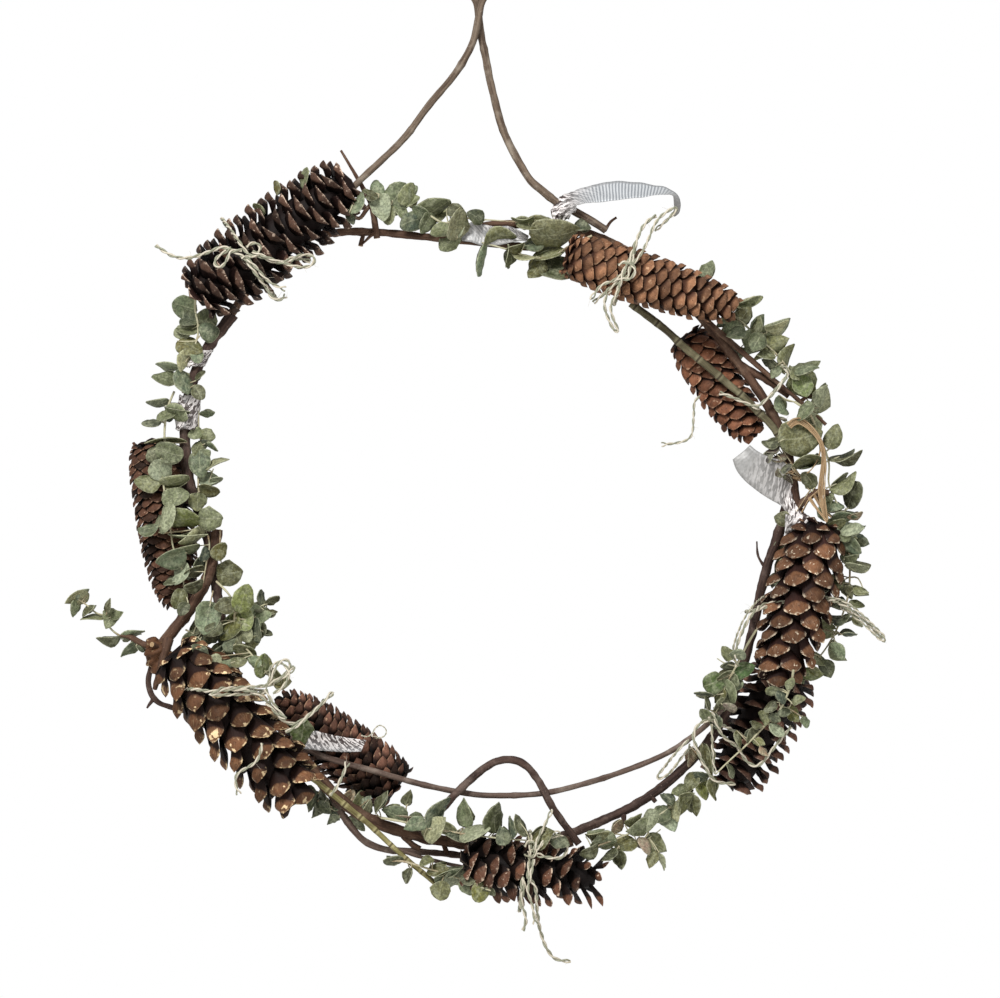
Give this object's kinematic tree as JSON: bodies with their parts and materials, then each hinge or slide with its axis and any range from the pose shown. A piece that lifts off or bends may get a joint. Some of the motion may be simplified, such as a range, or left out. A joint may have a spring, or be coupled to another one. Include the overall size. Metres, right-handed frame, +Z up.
{
  "type": "pinecone wreath",
  "caption": "Hanging wreath: a ring of bundled stems carrying pinecones, eucalyptus sprigs, sheer ribbon and twine ties, with a twig hanger whose loop goes over a hook",
  "frame": {"origin": "inside the top of the hanger's loop, where a hook carries the wreath", "axes": "+Z up, -Y towards the viewer in front of the wreath, +X to that viewer's right"},
  "size_m": [0.534, 0.1292, 0.6663],
  "materials": {
    "bark": "rough dark brown bark",
    "green_bark": "matt olive green bark",
    "scale": "matt reddish brown cone scales with dried resin",
    "dark_scale": "matt dark brown cone scales",
    "leaf": "waxy grey-green dried leaf",
    "twine": "matt off-white twisted twine",
    "raffia": "satin tan raffia",
    "ribbon": "sheer ribbed white ribbon with glitter edges"
  },
  "bodies": {
    "root": {"arch_stem": "bark", "branch_to_pinecone": "bark", "chord_stem": "bark", "green_stem_bottom": "green_bark", "green_stem_right": "green_bark", "hanger_stem": "bark", "loop_twig": "bark", "outer_stem_right": "bark", "pinecone_bottom": "scale", "pinecone_inner_left": "dark_scale", "pinecone_inner_right": "scale", "pinecone_left": "scale", "pinecone_lower_left": "scale", "pinecone_lower_right": "dark_scale", "pinecone_right": "scale", "pinecone_upper_left": "dark_scale", "pinecone_upper_right": "scale", "raffia_tie": "raffia", "ribbon_band_lower": "ribbon", "ribbon_band_upper": "ribbon", "ribbon_loop": "ribbon", "ribbon_lower_left": "ribbon", "ribbon_right": "ribbon", "ribbon_top": "ribbon", "ring_stem_bottom": "bark", "ring_stem_bottom_rear": "bark", "ring_stem_left": "bark", "ring_stem_lower_right": "bark", "ring_stem_top": "bark", "ring_stem_upper_right": "bark", "sprig_bottom": "leaf", "sprig_bottom_right": "leaf", "sprig_bottom_under": "leaf", "sprig_far_left": "leaf", "sprig_left_cluster": "leaf", "sprig_left_inner": "leaf", "sprig_left_outer": "leaf", "sprig_left_tip": "leaf", "sprig_lower_left": "leaf", "sprig_lower_right": "leaf", "sprig_right_edge": "leaf", "sprig_right_inner": "leaf", "sprig_right_outer": "leaf", "sprig_right_rear": "leaf", "sprig_top": "leaf", "sprig_top_left": "leaf", "sprig_upper_left": "leaf", "spur_twig": "bark", "twine_tie_bottom": "twine", "twine_tie_inner_right": "twine", "twine_tie_lower_left": "twine", "twine_tie_lower_right": "twine", "twine_tie_right": "twine", "twine_tie_upper_left": "twine", "twine_tie_upper_right": "twine"}
  },
  "joints": []
}
